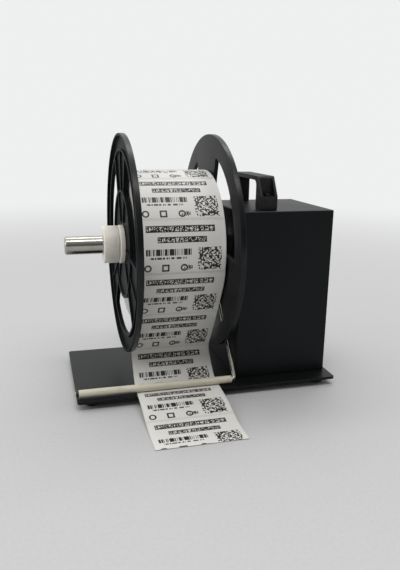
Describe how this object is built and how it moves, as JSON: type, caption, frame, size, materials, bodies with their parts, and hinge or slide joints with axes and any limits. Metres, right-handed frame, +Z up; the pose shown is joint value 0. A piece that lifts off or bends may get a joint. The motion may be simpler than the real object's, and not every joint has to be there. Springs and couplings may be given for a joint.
{
  "type": "label rewinder",
  "caption": "Tabletop rewinder that winds printed labels on a motor-driven reel, with a dancer arm whose roller senses the loose labels.",
  "frame": {"origin": "centre of the bounding box, at its bottom, on the table under the feet", "axes": "+X from the spindle's free end to the control panel, +Y from the loose labels to the back, +Z up"},
  "size_m": [0.3008, 0.3002, 0.2753],
  "materials": {
    "powder_coat": "fine textured black powder coat",
    "black_plastic": "moulded black ABS",
    "foot_rubber": "matt black",
    "polished_steel": "ground and polished",
    "zinc_steel": "zinc plated",
    "motor_paint": "black painted can",
    "aluminium": "turned",
    "white_nylon": "turned nylon",
    "ivory_plastic": "extruded tube",
    "cardboard": "wound brown cardboard",
    "label_paper": "coated paper labels on their liner",
    "belt_rubber": "black",
    "circuit_board": "green solder mask",
    "brass": "turned"
  },
  "bodies": {
    "base": {"base_plate": "powder_coat", "housing": "powder_coat", "control_panel": "powder_coat", "carry_handle": "black_plastic", "power_switch": "black_plastic", "direction_switch": "black_plastic", "power_inlet": "black_plastic", "dancer_sensor": "black_plastic", "capacitor": "black_plastic", "foot_front_left": "foot_rubber", "foot_front_right": "foot_rubber", "foot_back_left": "foot_rubber", "foot_back_right": "foot_rubber", "bearing_left": "polished_steel", "bearing_right": "polished_steel", "drive_bracket": "zinc_steel", "bracket_screw_front": "zinc_steel", "bracket_screw_back": "zinc_steel", "gearbox": "zinc_steel", "speed_control": "zinc_steel", "handle_screw_front": "zinc_steel", "handle_screw_back": "zinc_steel", "housing_screw_1": "zinc_steel", "housing_screw_2": "zinc_steel", "housing_screw_3": "zinc_steel", "housing_screw_4": "zinc_steel", "panel_screw_1": "zinc_steel", "panel_screw_2": "zinc_steel", "panel_screw_3": "zinc_steel", "panel_screw_4": "zinc_steel", "motor_can": "motor_paint", "bearing_housing": "aluminium", "label_web": "label_paper", "drive_belt": "belt_rubber", "control_board": "circuit_board", "dancer_bushing": "brass", "board_standoff_1": "brass", "board_standoff_2": "brass", "board_standoff_3": "brass", "board_standoff_4": "brass"},
    "reel": {"spindle": "polished_steel", "reel_hub": "aluminium", "inner_flange": "black_plastic", "roll_core": "cardboard", "label_roll": "label_paper", "spindle_pulley": "aluminium"},
    "outer_set": {"outer_flange": "black_plastic", "lock_collar": "white_nylon", "collar_screw": "zinc_steel"},
    "motor_output": {"motor_shaft": "polished_steel", "motor_pulley": "aluminium"},
    "dancer": {"dancer_arm": "zinc_steel", "dancer_hub": "zinc_steel", "dancer_shaft": "polished_steel", "roller_cap": "black_plastic"},
    "roller": {"dancer_roller": "ivory_plastic"},
    "power_button": {"power_rocker": "black_plastic"},
    "direction_button": {"direction_rocker": "black_plastic"},
    "speed_dial": {"speed_knob": "black_plastic"}
  },
  "joints": [
    {"name": "spindle_spin", "type": "hinge", "parent": "base", "child": "reel", "pos_m": [0.02825, 0.03009, 0.1553], "axis": [-1, 0, 0], "continuous": true},
    {"name": "outer_flange_slide", "type": "slide", "parent": "reel", "child": "outer_set", "axis": [-1, 0, 0], "range_m": [0, 0.0401]},
    {"name": "motor_spin", "type": "hinge", "parent": "base", "child": "motor_output", "pos_m": [0.05825, 0.03009, 0.077], "axis": [-1, 0, 0], "continuous": true},
    {"name": "dancer_swing", "type": "hinge", "parent": "base", "child": "dancer", "pos_m": [0.02265, 0.02209, 0.095], "axis": [-1, 0, 0], "range_deg": [0, 44]},
    {"name": "roller_spin", "type": "hinge", "parent": "dancer", "child": "roller", "pos_m": [-0.06335, -0.04691, 0.015], "axis": [-1, 0, 0], "continuous": true},
    {"name": "power_rocker_tilt", "type": "hinge", "parent": "base", "child": "power_button", "pos_m": [0.13435, 0.00239, 0.126], "axis": [0, -1, 0], "range_deg": [0, 18]},
    {"name": "direction_rocker_tilt", "type": "hinge", "parent": "base", "child": "direction_button", "pos_m": [0.13435, 0.04439, 0.126], "axis": [0, 1, 0], "range_deg": [-9, 9]},
    {"name": "speed_knob_turn", "type": "hinge", "parent": "base", "child": "speed_dial", "pos_m": [0.13585, 0.02339, 0.158], "axis": [-1, 0, 0], "range_deg": [0, 270]}
  ],
  "couplings": [
    {"joint": "motor_spin", "follows": "spindle_spin", "ratio": 2}
  ]
}
